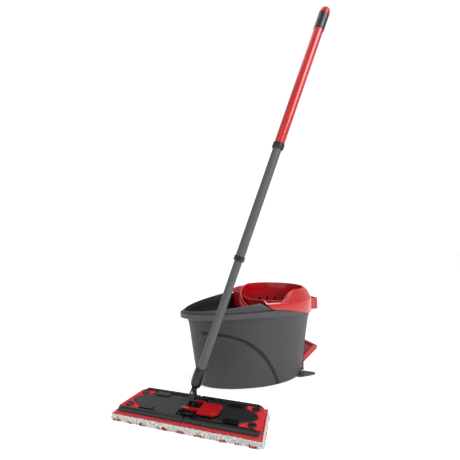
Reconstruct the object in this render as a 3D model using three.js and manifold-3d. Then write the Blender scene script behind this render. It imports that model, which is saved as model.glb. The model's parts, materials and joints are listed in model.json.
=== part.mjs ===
// Spin mop set: an egg-shaped bucket with a pedal-driven spin wringer, and a flat mop with a
// folding head on a telescopic handle. Millimetres, +Z up. The origin is the point where the
// wringer's spin axis meets the floor, and +X runs along the bucket towards the pedal.
import * as THREE from 'three';
import { mergeVertices } from 'three/addons/utils/BufferGeometryUtils.js';
import Module from 'manifold-3d';

const wasm = await Module();
wasm.setup();

// ---- driving dimensions -------------------------------------------------------------------

const GAP = 0.3; // clearance between pieces that touch or run on each other
const OUTLINE_STEPS = 56; // points round an egg-shaped outline
const ROUND_STEPS = 40; // points round a large turned piece
const TUBE_STEPS = 24; // points round a tube or pin

// bucket
const RIM_HALF_LENGTH = 218;
const RIM_HALF_WIDTH = 132;
const RIM_CENTRE_X = -85;
const BASE_HALF_LENGTH = 178;
const BASE_HALF_WIDTH = 97;
const BASE_CENTRE_X = -79;
const EGG_FATNESS = 0.11; // how much wider the pedal half is than the spout half
const BUCKET_WALL = 3;
const SKIRT_WALL = 4.5;
const BUCKET_FLOOR_UNDER = 2;
const BUCKET_FLOOR_TOP = 8;
const RIM_TOP_AT_SPOUT = 226;
const RIM_TOP_HIGH = 257;
const RIM_TOP_UNDER_GUARD = 246;
const RIM_STEP_X = -93; // where the rim drops to the guard's seat
const BAND_BOTTOM = 211;
const BAND_DEPTH = 4.5; // how far the rim band stands out from the wall
const SPOUT_REACH = 5;
const SPOUT_DRAW = 7; // extra overhang of the rim at the spout
const GROOVE_WIDTH = 12;
const GROOVE_DEPTH = 2;
const DECK_TOP = 74; // raised floor over the drive
const DECK_THICKNESS = 4;
const DECK_FROM_X = -98;
const CHIMNEY_TOP = 138; // keeps the shaft dry above the water
const CHIMNEY_RADIUS = 13;
const CHIMNEY_BORE = 9;

// base cover, screws and feet
const COVER_THICKNESS = 4;
const TOE_X = 124; // the cover spreads into two toes beside the pedal
const TOE_HALF_WIDTH = 76;
const SCREW_HEAD_RADIUS = 3.6;
const SCREW_SHANK_RADIUS = 1.4;
const SCREW_LENGTH = 15;
const SCREW_PLACES = [[-78, 58], [-78, -58], [38, 61], [38, -61]];
const POST_RADIUS = 4.8;
const FOOT_RADIUS = 9;
const FOOT_HEIGHT = 4.3;
const FOOT_PLACES = [[-205, 42], [-205, -42], [58, 46], [58, -46]];

// pedal and drive
const PEDAL_PIVOT_X = 84;
const PEDAL_PIVOT_Z = 22;
const PEDAL_HALF_WIDTH = 35;
const PEDAL_TIP_X = 153;
const PEDAL_TIP_Z = 75;
const CHEEK_WIDTH = 4;
const AXLE_RADIUS = 3;
const CRANK_RADIUS = 28;
const CRANK_START = 15; // degrees before upright; it ends as far past upright
const CRANK_PIN_RADIUS = 3;
const RACK_MODULE = 1.5;
const RACK_PINION_TEETH = 12;
const RACK_Z = 43;
const RACK_HEIGHT = 11;
const RACK_BACK = 7; // solid bar behind the teeth
const SPIN_MODULE = 1.25;
const WHEEL_TEETH = 48;
const CLUTCH_TEETH = 12;
const WHEEL_Z = 30;
const WHEEL_HEIGHT = 8;
const GEAR_PRESSURE_ANGLE = 25;
const GEAR_PLAY = 0.34; // total slack between meshing teeth
const SHAFT_RADIUS = 4;
const CLUTCH_HUB_RADIUS = 7;

// basket and guard
const BASKET_FLOOR = 82;
const BASKET_TOP = 252;
const BASKET_RADIUS = 95;
const BASKET_BASE_RADIUS = 85;
const BASKET_WALL = 2.5;
const BASKET_SLOTS = 20;
const MOUTH_RADIUS = 106;
const MOUTH_TOP = 286;
const MOUTH_DIP = 58;
const GUARD_WALL = 2.5;
const GUARD_WALL_BOTTOM = 178;
const FLANGE_OUT = 4; // how far the guard's edge stands outside the rim
const FLANGE_BOTTOM_FRONT = 234;
const FLANGE_BOTTOM_PEDAL = 202;
const NOSE_FROM = 112; // degrees round the spin axis where the guard's sides start to close
const NOSE_TO = 123;
const FRONT_WALL_RADIUS = 113;
const FRONT_WALL_BOTTOM = 205;
const LOOP_X = 169;
const LOOP_HALF_WIDTH = 33;
const LOOP_BOTTOM = 203;
const LOOP_TOP = 240;

// carry handle
const BAIL_PIVOT_X = -62;
const BAIL_PIVOT_Z = 226;
const BAIL_SPOUT_Z = 213; // folded, it droops a little to the spout end
const BAIL_STANDOFF = 4.6; // centre line outside the rim outline
const BAIL_PIVOT_STANDOFF = 10; // and beside the guard
const BAIL_WIDTH = 4.6;
const BAIL_HEIGHT = 16;

// mop place and lean
const MOP_X = -318.6;
const MOP_Y = -175.5;
const MOP_TURN = -38.2;
const LEAN_BACK = 8.4;
const LEAN_RIGHT = 17.67;

// mop head
const HEAD_FRONT_HALF = 178;
const HEAD_BACK_HALF = 168;
const HEAD_HALF_DEPTH = 56;
const PLATE_BOTTOM = 18.5;
const PLATE_THICKNESS = 5.5;
const RAIL_WIDTH = 10;
const RAIL_TOP = 29;
const RAIL_INSET = 5; // how far the rails stop short of the head's ends
const BODY_REACH = 163; // the raised middle's pointed ends
const BODY_HALF_DEPTH = 45;
const HEAD_CORNER = 9;
const WING_HINGE_X = 20;
const WING_HINGE_Z = 22;
const KNUCKLE_RADIUS = 4;
const HUB_HALF_DEPTH = 38;
const HUB_BOTTOM = 23;
const HUB_TOP = 28;
const PAD_INNER = 26;
const PAD_MARGIN = 11; // how far the pad stands out past the plate
const PAD_TOP = 18.2;
const STUD_RADIUS = 10;
const TILT_PIN_Z = 42;
const YOKE_LENGTH = 20;
const JOINT_PIN_RADIUS = 2.5;
const LUG_HALF_WIDTH = 5.3;
const EAR_WIDTH = 3.5;
const LEVER_PIVOT_X = -18;
const LEVER_PIVOT_Z = 31.5;

// handle, as distances along it from the swing pin
const SOCKET_TOP = 58;
const SOCKET_RADIUS = 14.5;
const LOWER_TUBE_RADIUS = 10.5;
const MIDDLE_TUBE_RADIUS = 12;
const UPPER_TUBE_RADIUS = 13.9;
const TUBE_WALL = 0.7;
const LOWER_TUBE_TOP = 390;
const MIDDLE_TUBE_BOTTOM = 345;
const MIDDLE_TUBE_TOP = 705;
const UPPER_TUBE_BOTTOM = 663;
const UPPER_TUBE_TOP = 1074;
const BAND_FROM = 1021;
const BAND_TO = 1070;

// ---- materials ----------------------------------------------------------------------------

function finish(color, roughness, metalness = 0) {
  return new THREE.MeshStandardMaterial({ color, roughness, metalness });
}
const greyPlastic = finish(0x55565b, 0.6);
const redPlastic = finish(0xd11f28, 0.25);
const blackPlastic = finish(0x1b1c1e, 0.35);
const charcoalPlastic = finish(0x2f3134, 0.5);
const whitePlastic = finish(0xdedfd9, 0.45);
const steel = finish(0xb4b6b8, 0.3, 1);
const paintedTube = finish(0x74777a, 0.45, 0.3);
const rubber = finish(0x222222, 0.9);
const backing = finish(0xb3202a, 0.9);
const pile = finish(0xf1efea, 1);

// ---- helpers ------------------------------------------------------------------------------

const TURN = 2 * Math.PI;
const rad = THREE.MathUtils.degToRad;
const { smoothstep, lerp } = THREE.MathUtils;

function withoutSlivers(geometry) {
  const bare = geometry.clone();
  bare.deleteAttribute('normal');
  bare.deleteAttribute('uv');
  const merged = mergeVertices(bare, 1e-4);
  const corners = merged.index.array;
  const kept = [];
  for (let i = 0; i < corners.length; i += 3) {
    const [a, b, c] = [corners[i], corners[i + 1], corners[i + 2]];
    if (a !== b && b !== c && c !== a) kept.push(a, b, c);
  }
  merged.setIndex(kept);
  return merged;
}

function solid(geometry) {
  const clean = withoutSlivers(geometry);
  return new wasm.Manifold(new wasm.Mesh({
    numProp: 3,
    vertProperties: clean.attributes.position.array,
    triVerts: Uint32Array.from(clean.index.array),
  }));
}

function mirroredX(geometry) {
  const mirror = withoutSlivers(geometry).scale(-1, 1, 1);
  mirror.setIndex(Array.from(mirror.index.array).reverse());
  return mirror;
}

function geometryOf(manifold) {
  const mesh = manifold.getMesh();
  const geometry = new THREE.BufferGeometry();
  geometry.setAttribute('position', new THREE.BufferAttribute(mesh.vertProperties, 3));
  geometry.setIndex(new THREE.BufferAttribute(mesh.triVerts, 1));
  return geometry;
}

function join(...geometries) {
  return geometryOf(geometries.map(solid).reduce((a, b) => a.add(b)));
}

function cut(body, ...cutters) {
  return geometryOf(cutters.map(solid).reduce((a, b) => a.subtract(b), solid(body)));
}

function common(a, b) {
  return geometryOf(solid(a).intersect(solid(b)));
}

function block(x0, x1, y0, y1, z0, z1) {
  const box = new THREE.BoxGeometry(x1 - x0, y1 - y0, z1 - z0);
  return box.translate((x0 + x1) / 2, (y0 + y1) / 2, (z0 + z1) / 2);
}

// a round bar from z0 to z1
function bar(radius, z0, z1, steps = TUBE_STEPS) {
  const cylinder = new THREE.CylinderGeometry(radius, radius, z1 - z0, steps);
  return cylinder.rotateX(Math.PI / 2).translate(0, 0, (z0 + z1) / 2);
}

function barAlongY(radius, y0, y1, x, z, steps = TUBE_STEPS) {
  const cylinder = new THREE.CylinderGeometry(radius, radius, y1 - y0, steps);
  return cylinder.translate(x, (y0 + y1) / 2, z);
}

function barAlongX(radius, x0, x1, y, z, steps = TUBE_STEPS) {
  const cylinder = new THREE.CylinderGeometry(radius, radius, x1 - x0, steps);
  return cylinder.rotateZ(-Math.PI / 2).translate((x0 + x1) / 2, y, z);
}

// a piece turned about z from [radius, height] points; the list closes on itself or on the axis
function turned(points, steps = TUBE_STEPS) {
  const onAxis = points[0][0] === 0;
  const closed = onAxis ? points : [...points, points[0]];
  const profile = closed.map(([r, z]) => new THREE.Vector2(r, z));
  return new THREE.LatheGeometry(profile, steps).rotateX(Math.PI / 2);
}

// a plate cut from a plan outline of [x, y] points, standing from z0 to z1
function plate(points, z0, z1, holes = []) {
  const shape = new THREE.Shape(points.map(([x, y]) => new THREE.Vector2(x, y)));
  shape.holes = holes;
  const flat = new THREE.ExtrudeGeometry(shape, { depth: z1 - z0, bevelEnabled: false });
  return flat.translate(0, 0, z0);
}

// a plate cut from a side outline of [x, z] points, standing from y0 to y1
function sidePlate(points, y0, y1) {
  const shape = new THREE.Shape(points.map(([x, z]) => new THREE.Vector2(x, z)));
  const flat = new THREE.ExtrudeGeometry(shape, { depth: y1 - y0, bevelEnabled: false });
  return flat.rotateX(Math.PI / 2).translate(0, y1, 0);
}

// a skin over rings of equal count; the ends are capped, or the last ring joins the first
function loft(rings, joined = false) {
  const count = rings[0].length;
  const points = rings.flat();
  const faces = [];
  const last = joined ? rings.length : rings.length - 1;
  for (let i = 0; i < last; i++) {
    const lower = i * count;
    const upper = ((i + 1) % rings.length) * count;
    for (let j = 0; j < count; j++) {
      const k = (j + 1) % count;
      faces.push(lower + j, lower + k, upper + k, lower + j, upper + k, upper + j);
    }
  }
  if (!joined) {
    for (const [start, flip] of [[0, true], [(rings.length - 1) * count, false]]) {
      const ring = points.slice(start, start + count);
      const centre = ring.reduce((sum, p) => sum.add(p), new THREE.Vector3()).divideScalar(count);
      points.push(centre);
      for (let j = 0; j < count; j++) {
        const a = start + j;
        const b = start + (j + 1) % count;
        faces.push(points.length - 1, flip ? b : a, flip ? a : b);
      }
    }
  }
  const geometry = new THREE.BufferGeometry().setFromPoints(points);
  geometry.setIndex(faces);
  if (enclosedVolume(geometry) < 0) geometry.setIndex(faces.reverse());
  return geometry;
}

function enclosedVolume(geometry) {
  const [a, b, c] = [new THREE.Vector3(), new THREE.Vector3(), new THREE.Vector3()];
  const { position } = geometry.attributes;
  const corners = geometry.index.array;
  let volume = 0;
  for (let i = 0; i < corners.length; i += 3) {
    [a, b, c].forEach((point, n) => point.fromBufferAttribute(position, corners[i + n]));
    volume += a.dot(b.cross(c)) / 6;
  }
  return volume;
}

// a coil of round wire about z, with its lowest wire just above z0 and its highest below z1
function coil(radius, wire, turns, z0, z1, stepsPerTurn = 8) {
  const path = new THREE.CatmullRomCurve3();
  const steps = Math.round(turns * stepsPerTurn);
  for (let i = 0; i <= steps; i++) {
    const angle = (i / stepsPerTurn) * TURN;
    const z = lerp(z0 + wire, z1 - wire, i / steps);
    path.points.push(new THREE.Vector3(radius * Math.cos(angle), radius * Math.sin(angle), z));
  }
  const section = new THREE.Shape().absarc(0, 0, wire, 0, TURN);
  return new THREE.ExtrudeGeometry(section, {
    steps, curveSegments: 3, bevelEnabled: false, extrudePath: path,
  });
}

const nodes = new THREE.Group();
function add(parent, name, geometry, material) {
  const mesh = new THREE.Mesh(withoutSlivers(geometry), material);
  mesh.name = name;
  parent.add(mesh);
  return mesh;
}

// ---- bucket outline -----------------------------------------------------------------------

function eggRing(halfLength, halfWidth, centreX, height, spout = 0) {
  const ring = [];
  for (let i = 0; i < OUTLINE_STEPS; i++) {
    const t = (i / OUTLINE_STEPS) * TURN;
    const lip = spout * Math.max(0, -Math.cos(t)) ** 40;
    const x = centreX + (halfLength + lip) * Math.cos(t);
    const y = halfWidth * Math.sin(t) * (1 + EGG_FATNESS * Math.cos(t));
    ring.push(new THREE.Vector3(x, y, typeof height === 'function' ? height(x) : height));
  }
  return ring;
}

// the bucket's outside at a height, grown outwards by some millimetres
function wallRing(z, grow) {
  const { halfLength, halfWidth, centreX } = wallSize(z);
  return eggRing(halfLength + grow, halfWidth + grow, centreX, z);
}

function wallSize(z) {
  const up = z / BAND_BOTTOM;
  const underRim = BAND_DEPTH + SPOUT_DRAW / 2;
  return {
    halfLength: lerp(BASE_HALF_LENGTH, RIM_HALF_LENGTH - underRim, up),
    halfWidth: lerp(BASE_HALF_WIDTH, RIM_HALF_WIDTH - BAND_DEPTH, up),
    centreX: lerp(BASE_CENTRE_X, RIM_CENTRE_X + SPOUT_DRAW / 2, up),
  };
}

function rimTop(x) {
  const spoutX = RIM_CENTRE_X - RIM_HALF_LENGTH;
  const rising = (x - spoutX) / (RIM_STEP_X - spoutX);
  const visible = lerp(RIM_TOP_AT_SPOUT, RIM_TOP_HIGH, Math.min(1, Math.max(0, rising)));
  return lerp(visible, RIM_TOP_UNDER_GUARD, smoothstep(x, RIM_STEP_X - 5, RIM_STEP_X + 5));
}

function rimRing(grow, below) {
  const height = (x) => rimTop(x) - below;
  const halfLength = RIM_HALF_LENGTH + grow;
  return eggRing(halfLength, RIM_HALF_WIDTH + grow, RIM_CENTRE_X, height, SPOUT_REACH);
}

// distance from the spin axis to the rim's outer edge in a direction
function rimRadius(direction) {
  let low = 0;
  let high = Math.PI;
  const wanted = Math.abs(Math.atan2(Math.sin(direction), Math.cos(direction)));
  const at = (t) => [
    RIM_CENTRE_X + RIM_HALF_LENGTH * Math.cos(t),
    RIM_HALF_WIDTH * Math.sin(t) * (1 + EGG_FATNESS * Math.cos(t)),
  ];
  for (let i = 0; i < 40; i++) {
    const middle = (low + high) / 2;
    const [x, y] = at(middle);
    if (Math.atan2(y, x) < wanted) low = middle;
    else high = middle;
  }
  return Math.hypot(...at(low));
}

// ---- bucket -------------------------------------------------------------------------------

function bucketSkin() {
  const lipWidth = BAND_DEPTH + BUCKET_WALL;
  return loft([
    wallRing(BUCKET_FLOOR_UNDER, -3),
    wallRing(BUCKET_FLOOR_UNDER + 4, 0),
    wallRing(186, 0),
    wallRing(190, 1.6),
    wallRing(BAND_BOTTOM - 4, 1.6),
    eggRing(RIM_HALF_LENGTH - 1, RIM_HALF_WIDTH - 1, RIM_CENTRE_X, BAND_BOTTOM, SPOUT_REACH / 2),
    rimRing(0, 5),
    rimRing(-1.5, 1.5),
    rimRing(-lipWidth / 2, 0),
    rimRing(1.5 - lipWidth, 1.5),
    rimRing(-lipWidth, 5),
    wallRing(BAND_BOTTOM - 4, -BUCKET_WALL),
    wallRing(BUCKET_FLOOR_TOP + 5, -BUCKET_WALL),
    wallRing(BUCKET_FLOOR_TOP, -BUCKET_WALL - 5),
  ]);
}

function deck() {
  const filling = loft([
    wallRing(BUCKET_FLOOR_UNDER + 1, -BUCKET_WALL / 2 - 1),
    wallRing(DECK_TOP, -BUCKET_WALL / 2),
  ]);
  const forward = 2 * RIM_HALF_LENGTH;
  const region = block(DECK_FROM_X, forward, -forward, forward, 0, 2 * DECK_TOP);
  return common(filling, region);
}

function driveCavity() {
  const hollow = loft([wallRing(-1, -SKIRT_WALL), wallRing(DECK_TOP - DECK_THICKNESS, -SKIRT_WALL)]);
  const forward = 2 * RIM_HALF_LENGTH;
  return common(hollow, block(DECK_FROM_X + 6, forward, -forward, forward, -2, DECK_TOP));
}

// a shallow groove that sweeps down the wall from the spout side to the floor
function groove(side) {
  const plan = new THREE.QuadraticBezierCurve(
    new THREE.Vector2(-262, 166), new THREE.Vector2(-98, 172), new THREE.Vector2(-32, -2));
  const steps = 18;
  const section = [[-1, -1], [1, -1], [1, 1], [-1, 1]];
  const rings = [];
  for (let i = 0; i <= steps; i++) {
    const at = plan.getPoint(i / steps);
    const along = plan.getTangent(i / steps);
    const { halfLength, halfWidth, centreX } = wallSize(at.y);
    const cos = Math.max(-0.97, (at.x - centreX) / halfLength);
    const sin = Math.sqrt(1 - cos * cos);
    const wall = new THREE.Vector3(
      centreX + halfLength * cos, side * halfWidth * sin * (1 + EGG_FATNESS * cos), at.y);
    const out = new THREE.Vector3(cos / halfLength, side * sin / halfWidth, -0.0012).normalize();
    const across = new THREE.Vector3(-along.y, 0, along.x).projectOnPlane(out).normalize();
    const depth = GROOVE_DEPTH * lerp(0.4, 1, smoothstep(i, 0, 7));
    rings.push(section.map(([a, b]) => wall.clone()
      .addScaledVector(across, a * (GROOVE_WIDTH / 2 + (b > 0 ? 3 : -2)))
      .addScaledVector(out, b > 0 ? 3 : -depth)));
  }
  return loft(rings);
}

function chimney() {
  return bar(CHIMNEY_RADIUS, DECK_TOP - DECK_THICKNESS - 1, CHIMNEY_TOP, ROUND_STEPS);
}

function screwPost([x, y]) {
  return bar(POST_RADIUS, COVER_THICKNESS + GAP, DECK_TOP - 2, 16).translate(x, y, 0);
}

function footPost([x, y]) {
  return bar(FOOT_RADIUS + 3, BUCKET_FLOOR_UNDER, DECK_TOP - 2, 24).translate(x, y, 0);
}

function pedalRib(side) {
  const y = side * (PEDAL_HALF_WIDTH + 8);
  return block(PEDAL_PIVOT_X - 10, PEDAL_PIVOT_X + 10, y - 2, y + 2, 8, DECK_TOP - 2);
}

function bailStud(side) {
  const y0 = side * (RIM_HALF_WIDTH - 12);
  const y1 = side * (bailSideY() - BAIL_WIDTH / 2 - 0.8);
  const y2 = side * (bailSideY() + BAIL_WIDTH / 2 + 1);
  const boss = barAlongY(6, Math.min(y0, y1), Math.max(y0, y1), BAIL_PIVOT_X, BAIL_PIVOT_Z, 20);
  return join(boss, barAlongY(3, Math.min(y0, y2), Math.max(y0, y2), BAIL_PIVOT_X, BAIL_PIVOT_Z, 20));
}

function bucketShell() {
  const compoundY = compoundCentreY();
  const gearBoss = bar(7, DECK_TOP - 14, DECK_TOP - 2, 20).translate(0, compoundY, 0);
  const solidParts = join(
    bucketSkin(),
    deck(),
  );
  const hollowed = cut(solidParts, driveCavity());
  const withPosts = join(
    hollowed,
    chimney(),
    gearBoss,
    ...SCREW_PLACES.map(screwPost),
    ...FOOT_PLACES.slice(2).map(footPost),
    pedalRib(1),
    pedalRib(-1),
    bailStud(1),
    bailStud(-1),
  );
  const windowHalf = PEDAL_HALF_WIDTH + 2.5;
  const axleY = PEDAL_HALF_WIDTH + 12;
  return cut(
    withPosts,
    bar(CHIMNEY_BORE, -1, CHIMNEY_TOP + 1, TUBE_STEPS),
    bar(AXLE_RADIUS + GAP, 0, DECK_TOP - DECK_THICKNESS - 1, 16).translate(0, compoundY, 0),
    block(76, 150, -windowHalf, windowHalf, 5, DECK_TOP - DECK_THICKNESS - 2),
    block(44, 150, -TOE_HALF_WIDTH - 1, -33, -1, COVER_THICKNESS + GAP),
    block(44, 150, 33, TOE_HALF_WIDTH + 1, -1, COVER_THICKNESS + GAP),
    block(84, 150, -11, 11, -1, COVER_THICKNESS + GAP),
    barAlongY(AXLE_RADIUS + GAP, -axleY - 1, axleY + 1, PEDAL_PIVOT_X, PEDAL_PIVOT_Z, 16),
    ...SCREW_PLACES.map(([x, y]) => bar(SCREW_SHANK_RADIUS + GAP, 0, SCREW_LENGTH + 4, 12).translate(x, y, 0)),
    ...FOOT_PLACES.map(([x, y]) => bar(FOOT_RADIUS + GAP, 0, FOOT_HEIGHT + GAP, 24).translate(x, y, 0)),
    groove(-1),
    groove(1),
  );
}

function baseCover() {
  const inset = -SKIRT_WALL - 0.6;
  const filled = loft([wallRing(0, inset - 0.6), wallRing(COVER_THICKNESS, inset - 0.6)]);
  const region = block(DECK_FROM_X + 7, 200, -200, 200, -1, 10);
  const toe = (side) => plate([
    [46, side * 40], [50, side * 66], [62, side * TOE_HALF_WIDTH], [104, side * TOE_HALF_WIDTH],
    [TOE_X - 6, side * (TOE_HALF_WIDTH - 2)], [TOE_X, side * (TOE_HALF_WIDTH - 8)],
    [TOE_X - 3, side * (TOE_HALF_WIDTH - 14)], [98, side * 42], [80, side * 34],
  ], 0, COVER_THICKNESS);
  const compoundY = compoundCentreY();
  const body = join(
    common(filled, region),
    toe(-1),
    toe(1),
    plate([[86, -10], [springX() + 8, -10], [springX() + 8, 10], [86, 10]], 0, COVER_THICKNESS),
    bar(11, 1, 12, TUBE_STEPS),
    bar(7, 1, 10, 20).translate(0, compoundY, 0),
    bar(4.5, 1, 9, 16).translate(springX(), 0, 0),
  );
  return cut(
    body,
    bar(SHAFT_RADIUS + 3.5, COVER_THICKNESS, 20, TUBE_STEPS),
    bar(AXLE_RADIUS + GAP, COVER_THICKNESS, 20, 16).translate(0, compoundY, 0),
    ...FOOT_PLACES.slice(2).map(([x, y]) => bar(FOOT_RADIUS + 3.5, -1, 9, 24).translate(x, y, 0)),
    ...SCREW_PLACES.map(([x, y]) => bar(SCREW_SHANK_RADIUS + GAP, -1, 9, 12).translate(x, y, 0)),
    ...SCREW_PLACES.map(([x, y]) => bar(SCREW_HEAD_RADIUS + GAP, -1, 2.6, 16).translate(x, y, 0)),
  );
}

function baseScrew() {
  return turned([
    [0, 0.5], [SCREW_HEAD_RADIUS - 0.6, 0.5], [SCREW_HEAD_RADIUS, 1.1], [SCREW_HEAD_RADIUS, 2.2],
    [SCREW_SHANK_RADIUS, 2.2], [SCREW_SHANK_RADIUS, SCREW_LENGTH - 2], [0, SCREW_LENGTH],
  ], 12);
}

function rubberFoot() {
  return turned([
    [0, 0], [FOOT_RADIUS - 1, 0], [FOOT_RADIUS, 1], [FOOT_RADIUS, FOOT_HEIGHT], [0, FOOT_HEIGHT],
  ], 24);
}

// ---- pedal and gear drive -----------------------------------------------------------------

function wheelRadius(teeth, module) {
  return teeth * module / 2;
}

function compoundCentreY() {
  return wheelRadius(WHEEL_TEETH, SPIN_MODULE) + wheelRadius(CLUTCH_TEETH, SPIN_MODULE);
}

function rackPitchY() {
  return compoundCentreY() - wheelRadius(RACK_PINION_TEETH, RACK_MODULE);
}

function springX() {
  return PEDAL_PIVOT_X + 21;
}

const ADDENDUM = 0.8;
const DEDENDUM = 1.15;

// involute gear outline, with a tooth centred on +X when phase is 0
function gearPoints(teeth, module, phase = 0) {
  const pitch = wheelRadius(teeth, module);
  const pressure = rad(GEAR_PRESSURE_ANGLE);
  const involute = (angle) => Math.tan(angle) - angle;
  const halfTooth = Math.PI / (2 * teeth) - GEAR_PLAY / (4 * pitch);
  const radii = [pitch - DEDENDUM * module, pitch + ADDENDUM * module];
  const base = pitch * Math.cos(pressure);
  const spread = radii.map((r) => {
    const reached = Math.acos(Math.min(1, base / Math.max(r, base)));
    return halfTooth + involute(pressure) - involute(reached);
  });
  const points = [];
  for (let i = 0; i < teeth; i++) {
    const middle = phase + (i / teeth) * TURN;
    const flank = (side, n) => {
      const angle = middle + side * spread[n];
      points.push([radii[n] * Math.cos(angle), radii[n] * Math.sin(angle)]);
    };
    [0, 1].forEach((n) => flank(-1, n));
    [1, 0].forEach((n) => flank(1, n));
  }
  return points;
}

function roundHole(radius) {
  return new THREE.Path().absarc(0, 0, radius, 0, TURN, true);
}

function stepUpGear() {
  const wheel = plate(gearPoints(WHEEL_TEETH, SPIN_MODULE), WHEEL_Z, WHEEL_Z + WHEEL_HEIGHT);
  const pinion = plate(gearPoints(RACK_PINION_TEETH, RACK_MODULE), WHEEL_Z + 2, RACK_Z + RACK_HEIGHT - 0.5);
  const lightening = [0, 1, 2, 3, 4, 5].map((i) => bar(5, WHEEL_Z - 1, WHEEL_Z + WHEEL_HEIGHT + 1, 14)
    .translate(19, 0, 0).rotateZ(i * TURN / 6));
  const hub = bar(6.5, 12, WHEEL_Z + 1, 20);
  return cut(join(wheel, pinion, hub), bar(AXLE_RADIUS + GAP, 0, 80, 16), ...lightening);
}

function gearAxle() {
  return bar(AXLE_RADIUS, COVER_THICKNESS + GAP, DECK_TOP - DECK_THICKNESS - 1 - GAP, 16);
}

function clutchGear() {
  const phase = TURN / 4 + TURN / (2 * CLUTCH_TEETH);
  const teeth = plate(gearPoints(CLUTCH_TEETH, SPIN_MODULE, phase), WHEEL_Z - 2, WHEEL_Z + WHEEL_HEIGHT + 2);
  const hub = bar(CLUTCH_HUB_RADIUS, WHEEL_Z + WHEEL_HEIGHT + 1, 52, TUBE_STEPS);
  return cut(join(teeth, hub), bar(SHAFT_RADIUS + GAP, 0, 80, TUBE_STEPS));
}

function spinShaft() {
  return turned([
    [0, COVER_THICKNESS + 2 * GAP], [SHAFT_RADIUS, COVER_THICKNESS + 2 * GAP], [SHAFT_RADIUS, 52.6],
    [CLUTCH_HUB_RADIUS, 52.6], [CLUTCH_HUB_RADIUS, 64], [SHAFT_RADIUS, 64],
    [SHAFT_RADIUS, 158], [0, 158],
  ]);
}

function clutchSpring() {
  return coil(CLUTCH_HUB_RADIUS + GAP + 1.5, 0.6, 4, 43, 62);
}

function lowerBush() {
  const inner = SHAFT_RADIUS + GAP;
  const outer = SHAFT_RADIUS + 3.5 - GAP;
  return turned([[inner, COVER_THICKNESS + GAP], [outer, COVER_THICKNESS + GAP], [outer, 12], [inner, 12]]);
}

function upperBush() {
  const inner = SHAFT_RADIUS + GAP;
  const outer = CHIMNEY_BORE - GAP;
  return turned([
    [inner, CHIMNEY_TOP - 12], [outer, CHIMNEY_TOP - 12], [outer, CHIMNEY_TOP + GAP],
    [CHIMNEY_RADIUS - 1, CHIMNEY_TOP + GAP], [CHIMNEY_RADIUS - 2, CHIMNEY_TOP + 2.5], [inner, CHIMNEY_TOP + 2.5],
  ]);
}

function crankPin() {
  const lean = rad(CRANK_START);
  return [PEDAL_PIVOT_X - CRANK_RADIUS * Math.sin(lean), PEDAL_PIVOT_Z + CRANK_RADIUS * Math.cos(lean)];
}

function driveRack() {
  const pitchY = rackPitchY();
  const toothPitch = Math.PI * RACK_MODULE;
  const slope = Math.tan(rad(GEAR_PRESSURE_ANGLE));
  const root = pitchY - DEDENDUM * RACK_MODULE;
  const tip = pitchY + ADDENDUM * RACK_MODULE;
  const half = toothPitch / 4 - GEAR_PLAY / 4;
  const [pinX, pinZ] = crankPin();
  const endX = pinX + CRANK_PIN_RADIUS + 5;
  const points = [[endX, root - RACK_BACK], [endX, root]];
  for (let i = 1; i >= -5; i--) {
    const x = (i + 0.5) * toothPitch;
    points.push([x + half + DEDENDUM * RACK_MODULE * slope, root]);
    points.push([x + half - ADDENDUM * RACK_MODULE * slope, tip]);
    points.push([x - half + ADDENDUM * RACK_MODULE * slope, tip]);
    points.push([x - half - DEDENDUM * RACK_MODULE * slope, root]);
  }
  const tailX = -5.5 * toothPitch;
  points.push([tailX, root], [tailX, root - RACK_BACK]);
  points.reverse();
  const teeth = plate(points, RACK_Z, RACK_Z + RACK_HEIGHT);
  const forkX = CRANK_PIN_RADIUS + 5;
  const fork = block(pinX - forkX, endX, root - RACK_BACK, root, RACK_Z - 2, pinZ + 8);
  const slotX = CRANK_PIN_RADIUS + 0.4;
  const slot = block(pinX - slotX, pinX + slotX, 0, 60, pinZ - CRANK_PIN_RADIUS - 1.2, 80);
  return cut(join(teeth, fork), slot);
}

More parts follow.
